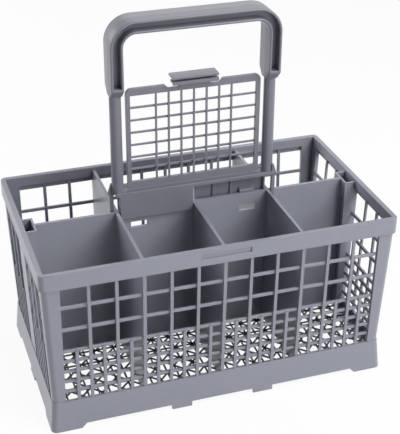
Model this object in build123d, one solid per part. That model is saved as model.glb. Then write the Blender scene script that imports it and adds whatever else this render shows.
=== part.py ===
from build123d import *
from math import atan2, degrees, radians, tan
import os

# A cutlery basket for a dishwasher, in three mouldings: the pierced basket with its partitions,
# a carrying handle that clips over the middle partition, and a grid lid hinged between the handle's legs.
# Millimetres, +Z up, the feet stand on Z = 0, X runs along the basket and the catch for the lid faces -Y.

# Basket, over the rim
length = 240.0
width = 137.0
height = 122.0
corner_radius = 4.0
wall = 2.8
wall_draft = 2.0

# Rim band, which stands proud of the wall and hangs like a lip before the top of the openings
rim_height = 11.4
rim_proud = 0.8
rim_lip = 4.4

# Grid in the walls: wide rows over narrow rows, outer uprights crossed by inner rails
end_post = 12.7
columns = 12
rows = 3
row_pitch = 16.8
fine_rows = 5
fine_pitch = 8.0
bar = 2.2
side_post = 11.0
side_columns = 3

# Skirt and feet
skirt_wall = 2.0
skirt_inset = 1.8
skirt_proud = 0.4
foot_height = 3.4
foot_length = 22.0
tab_foot = 14.0
tab_foot_offset = 29.0

# Floor, sunk below the skirt's top: slots across the basket, so many to each cell
floor = 1.2
floor_drop = 6.0
floor_bar = 1.0
floor_slots = 4
floor_border = 4.0

# Partitions, as thick as the uprights that they end on
partition = 2.2
partition_drop = 2.0

# Sockets at both ends of the middle partition
socket_depth = 9.0
socket_width = 18.0
socket_wall = 1.5
slit_width = 2.4
slit_drop = 13.0

# Slots in the middle partition that the handle's nubs click into
nub_width = 10.6
nub_height = 3.6
nub_offset = 38.6
slot_clearance = 0.4
slot_drop = 9.0

# Catch for the lid in the front of the rim
catch_width = 33.6
catch_height = 3.6
catch_drop = 3.2
catch_depth = 1.2

# Handle
handle_width = 113.0
handle_rise = 133.7
leg = 8.3
grip_depth = 18.0
leg_depth = 7.6
grip_length = 45.0
step_height = 5.0
bend_radius = 17.0
flange = 1.8
web = 5.0
leg_step = 0.3
leg_round = 2.4

# Clip at the foot of the handle, which straddles the middle partition
ledge_rise = 12.5
ledge_height = 2.7
ledge_depth = 9.0
plate = 1.8
plate_reach = 4.6
plate_gap = 0.7
rib = 1.2
rib_height = 1.3
ribs = 3
rib_pitch = 12.6
tab_width = 2.7
tab_flare = 1.3
tab_rise = 8.0
tab_step = 0.3
shelf_reach = 1.5
foot_taper = 1.8
clip_gap = 0.3

# Lid
lid_width = 91.4
lid_height = 70.5
lid_thickness = 2.4
lid_side = 2.9
lid_top = 5.0
lid_bottom = 4.6
lid_bar = 1.3
lid_columns = 10
lid_rows = 7
lid_corner = 4.0
pin_diameter = 3.0
pin_clearance = 0.25
pin_grip = 1.8
pin_rise = 2.2
hinge_gap = 1.2

# Latch on the lid's free edge
latch_width = 31.0
latch_hook = 3.8
latch_finger = 9.8
latch_plate = 1.5
latch_gap = 1.5
latch_neck = 21.0
latch_rise = 1.0
latch_barb = 0.8
notch_width = 34.6
notch_depth = 2.5

# Levels and places that follow from the sizes above
slope = tan(radians(wall_draft))
rim_bottom = height - rim_height
opening_top = rim_bottom + rim_lip
grid_bottom = rim_bottom - rows * row_pitch - fine_rows * fine_pitch
skirt_top = grid_bottom + bar
floor_top = skirt_top - floor_drop
middle = wall / 2
partition_top = height - partition_drop
column_pitch = (length - 2 * end_post) / columns
side_pitch = (width - 2 * side_post - socket_width) / (2 * side_columns)
cell = 3 * column_pitch
ledge_bottom = partition_top + ledge_rise
ledge_top = ledge_bottom + ledge_height
handle_top = partition_top + handle_rise
hinge_z = ledge_top + hinge_gap + pin_rise
lid_foot = hinge_z - pin_rise
leg_inside = handle_width / 2 - leg + leg_step
lid_head = lid_foot + lid_height


def inset(z):
    """How far the outside of the wall lies inside the rim's outline at height z."""
    return rim_proud + (height - z) * slope


def block(x0, x1, y0, y1, z0, z1):
    """A block between two corners."""
    centre = Pos((x0 + x1) / 2, (y0 + y1) / 2, (z0 + z1) / 2)
    return centre * Box(x1 - x0, y1 - y0, z1 - z0)


def drafted(depth, z0, z1):
    """The space inside a drafted surface that lies depth inside the wall."""
    back = inset(z1) + depth
    outline = Rectangle(length - 2 * back, width - 2 * back)
    return Pos(0, 0, z1) * (Rot(180, 0, 0) * extrude(outline, z1 - z0, taper=wall_draft))


def skirt_inset_at(z):
    """How far the outside of the skirt lies inside the rim's outline at height z."""
    return skirt_inset + (inset(skirt_top) - skirt_proud - skirt_inset) * z / skirt_top


def flared(depth):
    """The space inside a flared surface that lies depth inside the skirt."""
    flare = degrees(atan2(skirt_inset_at(skirt_top) - skirt_inset, skirt_top))
    back = skirt_inset + depth
    return extrude(Rectangle(length - 2 * back, width - 2 * back), skirt_top, taper=flare)


def rounded(frustum):
    """A drafted block with its four slanting corner edges rounded."""
    return fillet(frustum.edges().group_by(Axis.Z)[1], corner_radius)


def rail_levels():
    """Bottom and top of each row of openings, from the rim down; the first row runs up behind the lip."""
    levels = []
    top = rim_bottom
    for pitch, count in ((row_pitch, rows), (fine_pitch, fine_rows)):
        for _ in range(count):
            levels.append((top - pitch + bar, top))
            top -= pitch
    levels[0] = (levels[0][0], opening_top)
    return levels


def openings(start, pitch, count):
    """Openings between uprights: full to the posts at both ends, half a bar short at each upright."""
    uprights = [start + i * pitch for i in range(1, count)]
    opens = [start] + [x + bar / 2 for x in uprights]
    closes = [x - bar / 2 for x in uprights] + [start + count * pitch]
    return zip(opens, closes)


def make_walls():
    """The four walls as two layers: the outer one slit between uprights, the inner one between rails."""
    outer = rounded(drafted(0, skirt_top, height)) - drafted(middle, skirt_top, height)
    inner = drafted(middle, skirt_top, height) - drafted(wall, skirt_top, height)
    levels = rail_levels()
    change = levels[rows][1] + bar / 2
    half_x = length / 2 - end_post
    half_y = width / 2 - side_post
    socket = socket_width / 2
    slits = []
    for low, high, split in ((change, opening_top, 1), (levels[-1][0], change, 2)):
        for x0, x1 in openings(-half_x, column_pitch / split, columns * split):
            slits.append(block(x0, x1, -width, width, low, high))
        for start in (-half_y, socket):
            for y0, y1 in openings(start, side_pitch / split, side_columns * split):
                slits.append(block(-length, length, y0, y1, low, high))
    gaps = []
    for low, high in levels:
        gaps.append(block(-half_x, half_x, -width, width, low, high))
        gaps.append(block(-length, length, -half_y, -socket, low, high))
        gaps.append(block(-length, length, socket, half_y, low, high))
    return outer - slits, inner - gaps


def make_skirt():
    """The flared skirt, cut away underneath between its feet."""
    skirt = rounded(flared(0)) - flared(skirt_wall)
    corner_x = length / 2 - foot_length
    corner_y = width / 2 - foot_length
    inner_tab = tab_foot_offset - tab_foot / 2
    outer_tab = tab_foot_offset + tab_foot / 2
    h = foot_height
    gaps = []
    for side in (-1, 1):
        outer_gap = Polyline((side * outer_tab, 0), (side * corner_x, 0), (side * (corner_x - h), h),
                             (side * outer_tab, h), close=True)
        gaps.append(extrude(Plane.XZ * make_face(outer_gap), width, both=True))
        end_gap = Polyline((side * tab_foot / 2, 0), (side * corner_y, 0), (side * (corner_y - h), h),
                           (side * tab_foot / 2, h), close=True)
        gaps.append(extrude(Plane.YZ * make_face(end_gap), length, both=True))
    gaps.append(block(-inner_tab, inner_tab, -width, width, 0, h))
    return skirt - gaps


def make_floor():
    """The floor: slots across the basket between bars, with a wider bar under each cross partition."""
    slab = flared(skirt_wall / 2) & block(-length, length, -width, width, floor_top - floor, floor_top)
    edge = skirt_inset_at(floor_top) + skirt_wall + floor_border
    half_x = length / 2 - edge
    half_y = width / 2 - edge
    half = partition / 2
    slots = []
    cells = ((-half_x, -cell - half), (half - cell, -half), (half, cell - half), (cell + half, half_x))
    for x0, x1 in cells:
        pitch = (x1 - x0 + floor_bar) / floor_slots
        for i in range(floor_slots):
            x = x0 + i * pitch
            slots.append(block(x, x + pitch - floor_bar, -half_y, half_y, floor_top - floor, floor_top))
    return slab - slots


def make_partitions():
    """The middle partition, the cross partitions and the sockets, ending within the wall and the skirt."""
    half = partition / 2
    far_x = length / 2
    far_y = width / 2
    plates = [block(-far_x, far_x, -half, half, floor_top, partition_top)]
    for x in (-cell, 0, cell):
        plates.append(block(x - half, x + half, -far_y, 0, floor_top, partition_top))
    for x in (-cell, cell):
        plates.append(block(x - half, x + half, 0, far_y, floor_top, partition_top))
    inner_end = length / 2 - inset(partition_top) - wall - socket_depth + socket_wall
    bores = []
    for side in (-1, 1):
        ends = sorted((side * inner_end, side * far_x))
        plates.append(block(*ends, -socket_width / 2, socket_width / 2, floor_top, partition_top))
        ends = sorted((side * (inner_end + socket_wall), side * far_x))
        bore_half = socket_width / 2 - socket_wall
        bores.append(block(*ends, -bore_half, bore_half, floor_top, height))
        ends = sorted((side * (inner_end - half), side * (inner_end + 2 * socket_wall)))
        for y in (-bore_half / 2 - half / 2, bore_half / 2 + half / 2):
            low = skirt_top + slit_drop
            high = partition_top - slit_drop
            bores.append(block(*ends, y - slit_width / 2, y + slit_width / 2, low, high))
    slot_half = nub_width / 2 + slot_clearance
    slot_top = partition_top - slot_drop
    slot_bottom = slot_top - nub_height - 2 * slot_clearance
    for x in (-nub_offset, nub_offset):
        bores.append(block(x - slot_half, x + slot_half, -partition, partition, slot_bottom, slot_top))
    body = plates[0].fuse(*plates[1:]) - bores
    return body & (drafted(middle, skirt_top, height) + flared(skirt_wall / 2))


def make_basket():
    """The whole basket moulding."""
    rim = extrude(Pos(0, 0, rim_bottom) * RectangleRounded(length, width, corner_radius), rim_height)
    rim -= [drafted(wall, rim_bottom, height), rounded(drafted(0, rim_bottom, opening_top))]
    catch_top = height - catch_drop
    catch_half = catch_width / 2
    catch_back = catch_depth - width / 2
    rim -= block(-catch_half, catch_half, -width, catch_back, catch_top - catch_height, catch_top)
    outer, inner = make_walls()
    return outer.fuse(inner, rim, make_skirt(), make_floor(), make_partitions())


def arch(margin, foot):
    """The handle's arch as a face on the XZ plane, margin inside its outline, its legs ending at foot."""
    rise = handle_top - foot
    outer = Rectangle(handle_width - 2 * margin, rise - margin, align=(Align.CENTER, Align.MIN))
    outer = fillet(outer.vertices().group_by(Axis.Y)[-1], bend_radius - margin)
    inside = leg - margin
    inner = Rectangle(handle_width - 2 * inside, rise - inside, align=(Align.CENTER, Align.MIN))
    inner = fillet(inner.vertices().group_by(Axis.Y)[-1], bend_radius - inside)
    return Plane.XZ * (Pos(0, foot) * (outer - inner))


def make_clip():
    """Half of the clip: a ribbed plate with a nub behind the partition, and a tab on a shelf before it."""
    half = partition / 2
    near = half + clip_gap
    front = near + rib_height
    low = partition_top - plate_reach
    far = cell - half - plate_gap
    clip = block(near, far, front, front + plate, low, ledge_bottom)
    for x in [near + i * rib_pitch for i in range(ribs)] + [far - rib]:
        clip += block(x, x + rib, near, front, low, ledge_bottom)
    clip += block(far - rib, far, 0, near, partition_top + clip_gap, ledge_bottom)
    nub = Polyline((front, partition_top), (0, partition_top), (0, partition_top + nub_height / 2),
                   (front, partition_top + nub_height), close=True)
    clip += Pos(nub_offset, 0, 0) * extrude(Plane.YZ * make_face(nub), nub_width / 2, both=True)
    tab_near = cell + near
    tab_far = tab_near + tab_width
    tab_top = ledge_bottom + tab_rise
    tab = Polyline((tab_near, low), (tab_far, low), (tab_far, ledge_bottom),
                   (tab_far + tab_flare, ledge_bottom), (tab_near + shelf_reach, tab_top),
                   (tab_near, tab_top), close=True)
    tab_depth = leg_depth / 2 - tab_step - near
    clip += Pos(0, -near, 0) * extrude(Plane.XZ * make_face(tab), tab_depth)
    return clip + block(near, tab_near + shelf_reach, -ledge_depth / 2, 0, ledge_bottom, ledge_top)


def make_handle():
    """The handle: a flanged arch on slim legs, with the clip at its foot."""
    grip_bottom = handle_top - grip_length
    step_bottom = grip_bottom - step_height
    slim = leg_depth / 2 + leg_step
    deep = grip_depth / 2
    side = Polyline((-slim, step_bottom), (slim, step_bottom), (deep, grip_bottom), (deep, handle_top),
                    (-deep, handle_top), (-deep, grip_bottom), close=True)
    handle = extrude(arch(0, step_bottom), grip_depth / 2, both=True)
    handle &= extrude(Plane.YZ * make_face(side), handle_width, both=True)
    recess = extrude(arch(flange, grip_bottom + flange), grip_depth)
    handle -= [Pos(0, -web / 2, 0) * recess, Pos(0, web / 2 + grip_depth, 0) * recess]
    half_width = handle_width / 2
    leg_side = half_width - leg_step
    outline = Rectangle(leg_side - leg_inside, leg_depth)
    outline = Pos((leg_side + leg_inside) / 2, 0, ledge_bottom) * chamfer(outline.vertices(), leg_round)
    post = extrude(outline, step_bottom - ledge_bottom)
    taper = Polyline((leg_side, ledge_bottom + tab_rise), (leg_side - foot_taper, ledge_bottom),
                     (half_width, ledge_bottom), (half_width, ledge_bottom + tab_rise), close=True)
    post -= Pos(0, leg_depth, 0) * extrude(Plane.XZ * make_face(taper), leg_depth)
    ledge_end = leg_side - foot_taper
    ledge = block(-ledge_end, ledge_end, -ledge_depth / 2, ledge_depth / 2, ledge_bottom, ledge_top)
    side = make_clip() + post
    handle = handle.fuse(ledge, side, Rot(0, 0, 180) * side)
    bore = Cylinder(pin_diameter / 2 + pin_clearance, 2 * (leg_inside + pin_grip + pin_clearance))
    return handle - Pos(0, 0, hinge_z) * (Rot(0, 90, 0) * bore)


def make_lid():
    """The lid, standing upright: a grid in a frame, hinge pins at its foot and the latch on its head."""
    plane = Plane.XZ
    frame = Rectangle(lid_width, lid_height, align=(Align.CENTER, Align.MIN))
    frame = fillet(frame.vertices().group_by(Axis.Y)[-1], lid_corner)
    lid = extrude(plane * (Pos(0, lid_foot) * frame), lid_thickness / 2, both=True)
    half_x = lid_width / 2 - lid_side
    low = lid_foot + lid_bottom
    high = lid_head - lid_top
    pitch = 2 * half_x / lid_columns
    edges = [-half_x] + [-half_x + i * pitch for i in range(2, lid_columns - 1)] + [half_x]
    cutters = []
    for i, (x0, x1) in enumerate(zip(edges, edges[1:])):
        x0 += lid_bar / 2 if i else 0
        x1 -= lid_bar / 2 if x1 < half_x else 0
        cutters.append(block(x0, x1, -lid_thickness, 0, low, high))
    row = (high - low) / lid_rows
    for i in range(lid_rows):
        z0 = low + i * row + (lid_bar / 2 if i else 0)
        z1 = low + (i + 1) * row - (lid_bar / 2 if i < lid_rows - 1 else 0)
        cutters.append(block(-half_x, half_x, 0, lid_thickness, z0, z1))
    notch_foot = lid_head - notch_depth
    half_notch = notch_width / 2
    wide_notch = half_notch + notch_depth
    notch = Polyline((-half_notch, notch_foot), (half_notch, notch_foot), (wide_notch, lid_head),
                     (-wide_notch, lid_head), close=True)
    cutters.append(extrude(plane * make_face(notch), lid_thickness, both=True))
    lid -= cutters
    lip = lid_head + latch_rise
    gap = lip + latch_plate
    finger = gap + latch_gap
    half_latch = latch_width / 2
    half_neck = latch_neck / 2
    back = lid_thickness / 2
    tip = -back - latch_hook
    lid += block(-half_neck, half_neck, -back, back, notch_foot, finger)
    lid += block(-half_latch, half_latch, tip, back, lip, gap)
    lid += block(-half_latch, half_latch, tip, tip + latch_barb, lip - latch_barb, lip)
    lid += block(-half_latch, half_latch, tip, tip + latch_finger, finger, finger + latch_plate)
    reach = leg_inside + pin_grip
    pins = Pos(0, 0, hinge_z) * (Rot(0, 90, 0) * Cylinder(pin_diameter / 2, 2 * reach))
    pins -= block(-half_x, half_x, -pin_diameter, pin_diameter, lid_foot, low)
    pins &= block(-reach, reach, -back, back, lid_foot, lid_head)
    return lid + pins


os.makedirs("parts", exist_ok=True)
export_step(make_basket(), "parts/basket.step")
export_step(make_handle(), "parts/handle.step")
export_step(make_lid(), "parts/lid.step")
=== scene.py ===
import math

import bmesh
import bpy
from mathutils import Matrix, Vector


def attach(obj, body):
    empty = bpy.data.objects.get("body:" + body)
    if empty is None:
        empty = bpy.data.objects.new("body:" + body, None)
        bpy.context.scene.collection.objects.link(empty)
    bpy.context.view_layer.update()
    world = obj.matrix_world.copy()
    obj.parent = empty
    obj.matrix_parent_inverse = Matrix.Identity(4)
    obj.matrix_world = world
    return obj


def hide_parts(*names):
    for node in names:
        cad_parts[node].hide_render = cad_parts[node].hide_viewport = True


# The solids as built, the fixed frame for everything below. All sizes are in metres.
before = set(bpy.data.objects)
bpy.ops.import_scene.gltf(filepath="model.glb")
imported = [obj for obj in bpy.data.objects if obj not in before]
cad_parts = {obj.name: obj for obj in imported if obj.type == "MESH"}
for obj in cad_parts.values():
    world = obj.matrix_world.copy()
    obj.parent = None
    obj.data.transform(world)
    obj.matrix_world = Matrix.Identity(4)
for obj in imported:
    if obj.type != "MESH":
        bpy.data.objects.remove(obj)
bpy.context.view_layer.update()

# How far the outward edges are rounded. The legs' edges are the roundest.
BASKET_EDGE = 0.00022
RIM_EDGE = 0.00060
HANDLE_EDGE = 0.00035
GRIP_EDGE = 0.00080
STEP_EDGE = 0.00020
LEG_EDGE = 0.00110
LID_EDGE = 0.00020
MESH_EDGE = 0.00012
EDGE_STEPS = 3

# Heights at which the edges change, and how near to a height counts as being at it
RIM_TOP = 0.1220
GRIP_FOOT = 0.2037
LEVEL = 0.0001

# What counts as an edge: faces that turn by SHARP or more. The edges of the eight-sided legs turn by less
# than GENTLE, and edges that end in a corner under NARROW stay crisp. The shading of a rounded edge reaches
# round by EDGE_TURN. An edge that rises by more than the share UPRIGHT of its length is upright.
SHARP = math.radians(30)
GENTLE = math.radians(50)
NARROW = math.radians(25)
EDGE_TURN = math.radians(60)
UPRIGHT = 0.99

# What merges the loose triangles of a solid into whole flat faces
WELD = 0.000005
FLAT = math.radians(0.2)

# The floor's mesh: rails, slanting bars and a thin bar in each slot of the floor. The tops of each kind lie a
# few steps under the floor's top, so that no two kinds share a face.
FLOOR_TOP = 0.0164
MESH_HEIGHT = 0.0008
MESH_BAR = 0.0012
MESH_PITCH = 0.0134
MESH_HALF_X = 0.1110
MESH_HALF_Y = 0.0595
MESH_STEP = 0.00005
CROSS_STEPS = 1
RAIL_STEPS = 2
RISING_STEPS = 3
FALLING_STEPS = 4
SLANT = math.radians(45)
SLANT_LENGTH = 3 * MESH_HALF_Y
CELL = 0.05365
PARTITION = 0.0022
SLOTS = 4
SLOT_BAR = 0.0010

# Colours of the plastic, which drift from a grey to its tint, and a dark colour painted on the basket's floor
# as shade
BASKET_GREY = (0.210, 0.217, 0.262, 1)
BASKET_TINT = (0.240, 0.248, 0.296, 1)
HANDLE_GREY = (0.136, 0.140, 0.172, 1)
HANDLE_TINT = (0.161, 0.165, 0.200, 1)
FLOOR_PAINTED_SHADE = (0.060, 0.062, 0.074, 1)

# Patterns in the plastic: scale, detail, roughness and distortion of a noise
CLOUD = (14, 3, 0.5, 0.0)
FLOW = (46, 4, 0.6, 1.2)
GRAIN = (3200, 2, 0.5, 0.0)
RUB = (260, 5, 0.7, 0.6)

# What the patterns do to its colour, its roughness and its relief
CLOUD_TONE = 0.6
FLOW_TONE = 0.4
ROUGHNESS = 0.25
FLOW_ROUGHNESS = 0.06
RUB_ROUGHNESS = 0.06
GRAIN_RELIEF = 0.7
RUB_RELIEF = 0.3
RELIEF_STRENGTH = 0.03
RELIEF_DEPTH = 0.00012
PLASTIC_IOR = 1.5

# Slope of the handle's and the lid's sides away from their parting line
DRAFT = 0.05

# The surroundings: white where they are seen, and dim as a light. Of what is seen of the paper, the share
# PAPER_GLOW is plain white, and the rest keeps the shadow.
WHITE = (1, 1, 1, 1)
PAPER = (0.86, 0.86, 0.86, 1)
PAPER_SIZE = 8
PAPER_GLOW = 0.92
ROOM = (0.8, 0.8, 0.8, 1)
ROOM_LIGHT = 0.03
SEEING_RAYS = ("Is Camera Ray", "Is Glossy Ray", "Is Transmission Ray")

# Lamps: name, place, size and power in watts. All face one point in the basket.
LAMPS = (
    ("front_key", (0.60, -0.60, 0.95), 0.8, 15),
    ("front_fill", (0.35, -1.10, 0.36), 0.6, 4.5),
    ("top_light", (0.00, 0.30, 1.60), 1.0, 3),
    ("back_left_edge", (-1.10, 0.80, 0.60), 0.9, 16),
    ("back_sheen", (0.35, 1.30, 0.90), 0.9, 1.4),
)
LAMP_AIM = Vector((0, 0, 0.12))

# Camera, fitted to the photograph, with its focal length in pixels of a frame 400 wide
FRAME_WIDTH = 400
FOCAL_PIXELS = 1112.9
CAMERA_AT = Vector((-0.20762, -0.63102, 0.47990))
CAMERA_AZIMUTH = math.radians(18.608)
CAMERA_DOWN = math.radians(29.320)
CAMERA_ROLL = math.radians(0.407)
SENSOR = 36.0


class Value:
    """An output of a node, for use in expressions, which add their Math nodes."""

    def __init__(self, finish, socket):
        self.finish = finish
        self.socket = socket

    def math(self, operation, *values):
        return self.finish.node("ShaderNodeMath", {"operation": operation}, dict(enumerate(values)))

    def __add__(self, other):
        return self.math("ADD", self, other)

    def __mul__(self, other):
        return self.math("MULTIPLY", self, other)

    def __lt__(self, other):
        return self.math("LESS_THAN", self, other)

    def __gt__(self, other):
        return self.math("GREATER_THAN", self, other)

    def __abs__(self):
        return self.math("ABSOLUTE", self)

    __radd__ = __add__
    __rmul__ = __mul__


class Finish:
    """The nodes of a material or of the world: node() adds any node and returns one of its outputs."""

    def __init__(self, owner):
        owner.use_nodes = True
        self.owner = owner
        self.tree = owner.node_tree
        self.tree.nodes.clear()

    def node(self, kind, settings=None, inputs=None, output=0):
        node = self.tree.nodes.new(kind)
        for key, value in (settings or {}).items():
            setattr(node, key, value)
        for key, value in (inputs or {}).items():
            if isinstance(value, Value):
                self.tree.links.new(value.socket, node.inputs[key])
            else:
                node.inputs[key].default_value = value
        return Value(self, node.outputs[output]) if node.outputs else None

    def noise(self, point, pattern):
        """A noise by its scale, detail, roughness and distortion."""
        inputs = dict(zip(("Scale", "Detail", "Roughness", "Distortion"), pattern))
        return self.node("ShaderNodeTexNoise", None, {"Vector": point, **inputs})

    def blend(self, factor, first, second):
        """A colour between two, by a factor from 0 to 1."""
        return self.node("ShaderNodeMix", {"data_type": "RGBA"}, {0: factor, 6: first, 7: second}, 2)

    def seen(self):
        """1 for what the camera sees, directly, in gloss or through glass, and 0 for other rays."""
        direct, gloss, glass = [self.node("ShaderNodeLightPath", None, None, ray) for ray in SEEING_RAYS]
        return direct.math("MAXIMUM", direct.math("MAXIMUM", direct, gloss), glass)

    def surface(self, shader, output="ShaderNodeOutputMaterial"):
        self.node(output, None, {"Surface": shader})
        return self.owner


def moulded_plastic(name, grey, tint, floor_painted_shade=None, draft=None):
    """Semi-gloss polypropylene with a fine grain, faint flow marks and handling rubs.

    The floor colour argument is a dark colour painted on the basket's floor as shade, and draft the slope of
    a piece's sides away from the parting line at half its depth.
    """
    finish = Finish(bpy.data.materials.new(name))
    point = finish.node("ShaderNodeTexCoord", None, None, "Object")
    cloud = finish.noise(point, CLOUD)
    flow = finish.noise(point, FLOW)
    grain = finish.noise(point, GRAIN)
    rub = finish.noise(point, RUB)
    colour = finish.blend(cloud * CLOUD_TONE + flow * FLOW_TONE, grey, tint)
    # Painted shade: the floor inside the basket is the same plastic, painted darker here to stand for shade.
    if floor_painted_shade:
        colour = finish.blend(floor_shade_mask(finish, point), colour, floor_painted_shade)
    relief = {"Strength": RELIEF_STRENGTH, "Distance": RELIEF_DEPTH}
    relief["Height"] = grain * GRAIN_RELIEF + rub * RUB_RELIEF
    if draft:
        across = finish.node("ShaderNodeSeparateXYZ", None, {0: point}, "Y")
        fall = abs(across) * -draft
        relief["Normal"] = finish.node("ShaderNodeBump", None, {"Strength": 1, "Distance": 1, "Height": fall})
    shader = finish.node("ShaderNodeBsdfPrincipled", None, {
        "Base Color": colour,
        "Roughness": ROUGHNESS + flow * FLOW_ROUGHNESS + rub * RUB_ROUGHNESS,
        "Normal": finish.node("ShaderNodeBump", None, relief),
        "IOR": PLASTIC_IOR,
    })
    return finish.surface(shader)


def floor_shade_mask(finish, point):
    """Where shade is painted: 1 on the floor of the basket, inside its walls, and 0 elsewhere."""
    x, y, z = [finish.node("ShaderNodeSeparateXYZ", None, {0: point}, axis) for axis in "XYZ"]
    along = abs(x) < MESH_HALF_X + LEVEL
    across = abs(y) < MESH_HALF_Y + LEVEL
    low = z < FLOOR_TOP + LEVEL
    return along * across * low


def deselect():
    """Nothing selected, in object mode."""
    bpy.ops.object.select_all(action="DESELECT")


def activate(piece):
    """Only this piece selected and active."""
    deselect()
    piece.select_set(True)
    bpy.context.view_layer.objects.active = piece


def basket_edge(edge, turn):
    """The rim's top is rounder than the rest of the basket."""
    return RIM_EDGE if min(end.co.z for end in edge.verts) > RIM_TOP - LEVEL else BASKET_EDGE


def handle_edge(edge, turn):
    """Round legs and flanges, with a crisp step where the one runs into the other."""
    low, high = sorted(end.co.z for end in edge.verts)
    if low > GRIP_FOOT - LEVEL:
        return GRIP_EDGE if high > GRIP_FOOT + LEVEL else STEP_EDGE
    upright = high - low > UPRIGHT * edge.calc_length()
    return LEG_EDGE if upright and turn < GENTLE else HANDLE_EDGE


def lid_edge(edge, turn):
    """The lid's edges are all alike."""
    return LID_EDGE


def mesh_edge(edge, turn):
    """The edges of the floor's mesh are all alike."""
    return MESH_EDGE


def mark_edges(piece, width):
    """Marks how much each outward edge is rounded; inward ones and narrow corners stay crisp."""
    shape = bmesh.new()
    shape.from_mesh(piece.data)
    weight = shape.edges.layers.float.new("bevel_weight_edge")
    for edge in shape.edges:
        turn = edge.calc_face_angle_signed(0)
        if abs(turn) < SHARP:
            continue
        corners = [corner.calc_angle() for loop in edge.link_loops for corner in (loop, loop.link_loop_next)]
        if turn > 0 and min(corners) > NARROW:
            edge[weight] = width(edge, turn) / LEG_EDGE
        else:
            edge.smooth = False
    shape.to_mesh(piece.data)
    shape.free()


def turn_normals(piece):
    """Flat faces keep their own direction up to their edges, and rounded edges turn from one to the next."""
    faces = piece.data.polygons
    around = [[] for _ in piece.data.vertices]
    for face in faces:
        for corner in face.vertices:
            around[corner].append(face)
    directions = []
    for face in faces:
        limit = math.cos(EDGE_TURN if face.material_index else SHARP)
        for corner in face.vertices:
            near = [other for other in around[corner] if other.normal.dot(face.normal) > limit]
            flat = [other for other in near if not other.material_index]
            total = sum((other.normal * other.area for other in flat or near), Vector())
            directions.append(total.normalized())
    piece.data.normals_split_custom_set(directions)


def soften(piece, width, material):
    """Rounds the outward edges of a piece, as a mould does, and shades it smooth between them.

    Until the end the rounded edges have a material slot of their own, which tells them from the flat faces.
    """
    mark_edges(piece, width)
    activate(piece)
    piece.data.materials.clear()
    piece.data.materials.append(material)
    piece.data.materials.append(material)
    bpy.ops.object.shade_smooth()
    bevel = piece.modifiers.new("soft_edges", "BEVEL")
    bevel.width = LEG_EDGE
    bevel.segments = EDGE_STEPS
    bevel.limit_method = "WEIGHT"
    bevel.use_clamp_overlap = False
    bevel.loop_slide = False
    bevel.material = 1
    bpy.ops.object.modifier_apply(modifier=bevel.name)
    turn_normals(piece)
    for face in piece.data.polygons:
        face.material_index = 0
    piece.data.materials.pop()


def moulding(node, body, name, width, material):
    """A copy of a solid with whole flat faces and soft edges, which stands for it."""
    piece = bpy.data.objects.new(name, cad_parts[node].data.copy())
    bpy.context.collection.objects.link(piece)
    activate(piece)
    bpy.ops.object.mode_set(mode="EDIT")
    bpy.ops.mesh.select_all(action="SELECT")
    bpy.ops.mesh.remove_doubles(threshold=WELD)
    bpy.ops.mesh.dissolve_limited(angle_limit=FLAT)
    bpy.ops.object.mode_set(mode="OBJECT")
    soften(piece, width, material)
    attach(piece, body)
    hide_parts(node)


def mesh_bar(length, steps):
    """A straight bar of the floor's mesh, lying along X, its top some steps under the floor's."""
    deselect()
    top = FLOOR_TOP - steps * MESH_STEP
    bpy.ops.mesh.primitive_cube_add(size=1, location=(0, 0, top - MESH_HEIGHT / 2))
    bar = bpy.context.object
    bar.scale = (length, MESH_BAR, MESH_HEIGHT)
    bpy.ops.object.transform_apply(location=True, rotation=True, scale=True)
    return bar


def copy_bar(bar, turn, x, y):
    """A copy of the bar, turned about Z and moved, with its place in its mesh."""
    copy = bpy.data.objects.new("bar", bar.data.copy())
    bpy.context.collection.objects.link(copy)
    copy.data.transform(Matrix.Translation((x, y, 0)) @ Matrix.Rotation(turn, 4, "Z"))
    return copy


def trim(piece, point, outward):
    """Cuts off what lies beyond a plane and fills the cut, across all the bars at once."""
    activate(piece)
    bpy.ops.object.mode_set(mode="EDIT")
    bpy.ops.mesh.select_all(action="SELECT")
    bpy.ops.mesh.bisect(plane_co=point, plane_no=outward, use_fill=True, clear_outer=True)
    bpy.ops.object.mode_set(mode="OBJECT")


def slot_middles():
    """The middle of each slot that the floor has between its cross bars."""
    near = PARTITION / 2
    middles = []
    for start, end in ((near, CELL - near), (CELL + near, MESH_HALF_X)):
        pitch = (end - start + SLOT_BAR) / SLOTS
        for i in range(SLOTS):
            x = start + (i + 0.5) * pitch - SLOT_BAR / 2
            middles += [-x, x]
    return middles


def floor_mesh(material):
    """Rails along the basket, slanting bars both ways and cross bars, which close the floor's slots."""
    rail = mesh_bar(2 * MESH_HALF_X, RAIL_STEPS)
    rising = mesh_bar(SLANT_LENGTH, RISING_STEPS)
    falling = mesh_bar(SLANT_LENGTH, FALLING_STEPS)
    cross = mesh_bar(2 * MESH_HALF_Y, CROSS_STEPS)
    rows = int(MESH_HALF_Y / MESH_PITCH)
    slants = int((MESH_HALF_X + MESH_HALF_Y) / MESH_PITCH)
    bars = [copy_bar(rail, 0, 0, (i + 0.5) * MESH_PITCH) for i in range(-rows, rows)]
    for i in range(-slants, slants + 1):
        bars.append(copy_bar(rising, SLANT, i * MESH_PITCH, 0))
        bars.append(copy_bar(falling, -SLANT, i * MESH_PITCH, 0))
    bars += [copy_bar(cross, math.pi / 2, x, 0) for x in slot_middles()]
    for model in (rail, rising, falling, cross):
        bpy.data.objects.remove(model)
    piece = bars[0]
    activate(piece)
    for bar in bars:
        bar.select_set(True)
    bpy.ops.object.join()
    for side in (-1, 1):
        trim(piece, (side * MESH_HALF_X, 0, 0), (side, 0, 0))
        trim(piece, (0, side * MESH_HALF_Y, 0), (0, side, 0))
    piece.name = "floor_mesh"
    soften(piece, mesh_edge, material)
    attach(piece, "basket")


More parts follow.
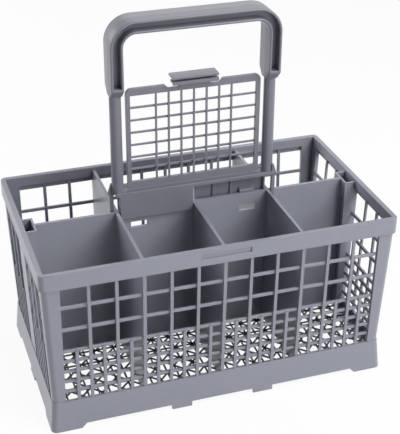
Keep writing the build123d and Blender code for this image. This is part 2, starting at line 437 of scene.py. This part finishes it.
def paper_floor():
    """A pale sheet that reads as white and still keeps a soft shadow under the basket."""
    deselect()
    bpy.ops.mesh.primitive_plane_add(size=PAPER_SIZE)
    floor = bpy.context.object
    floor.name = "paper_floor"
    finish = Finish(bpy.data.materials.new("white_paper"))
    paper = finish.node("ShaderNodeBsdfDiffuse", None, {"Color": PAPER})
    glow = finish.node("ShaderNodeEmission", None, {"Color": WHITE, "Strength": 1})
    both = finish.node("ShaderNodeMixShader", None, {0: finish.seen() * PAPER_GLOW, 1: paper, 2: glow})
    floor.data.materials.append(finish.surface(both))


def white_room():
    """Surroundings that are seen as white and give hardly any light."""
    finish = Finish(bpy.data.worlds.new("white_room"))
    dim = finish.node("ShaderNodeBackground", None, {"Color": ROOM, "Strength": ROOM_LIGHT})
    white = finish.node("ShaderNodeBackground", None, {"Color": WHITE, "Strength": 1})
    both = finish.node("ShaderNodeMixShader", None, {0: finish.seen(), 1: dim, 2: white})
    bpy.context.scene.world = finish.surface(both, "ShaderNodeOutputWorld")


def soft_box(name, at, size, power):
    """A square studio light."""
    lamp = bpy.data.lights.new(name, "AREA")
    lamp.size = size
    lamp.energy = power
    holder = bpy.data.objects.new(name, lamp)
    bpy.context.collection.objects.link(holder)
    holder.location = at
    holder.rotation_euler = (LAMP_AIM - Vector(at)).to_track_quat("-Z", "Y").to_euler()


def camera():
    """The photograph's view of the basket."""
    lens = bpy.data.cameras.new("camera")
    lens.sensor_fit = "HORIZONTAL"
    lens.sensor_width = SENSOR
    lens.lens = FOCAL_PIXELS * SENSOR / FRAME_WIDTH
    eye = bpy.data.objects.new("camera", lens)
    bpy.context.collection.objects.link(eye)
    sin_a, cos_a = math.sin(CAMERA_AZIMUTH), math.cos(CAMERA_AZIMUTH)
    sin_d, cos_d = math.sin(CAMERA_DOWN), math.cos(CAMERA_DOWN)
    forward = Vector((sin_a * cos_d, cos_a * cos_d, -sin_d))
    right = Vector((cos_a, -sin_a, 0))
    up = right.cross(forward)
    level = Matrix((right, up, -forward)).transposed().to_4x4()
    eye.matrix_world = Matrix.Translation(CAMERA_AT) @ level @ Matrix.Rotation(CAMERA_ROLL, 4, "Z")
    bpy.context.scene.camera = eye


# The basket's plastic has a painted shade on the basket's floor.
basket_plastic = moulded_plastic("basket_plastic", BASKET_GREY, BASKET_TINT, floor_painted_shade=FLOOR_PAINTED_SHADE)
handle_plastic = moulded_plastic("handle_plastic", HANDLE_GREY, HANDLE_TINT, draft=DRAFT)
moulding("basket", "basket", "basket_moulding", basket_edge, basket_plastic)
moulding("handle", "basket", "handle_moulding", handle_edge, handle_plastic)
moulding("lid", "lid", "lid_moulding", lid_edge, handle_plastic)
floor_mesh(basket_plastic)
paper_floor()
white_room()
for name, at, size, power in LAMPS:
    soft_box(name, at, size, power)
camera()
bpy.context.scene.view_settings.view_transform = "Standard"
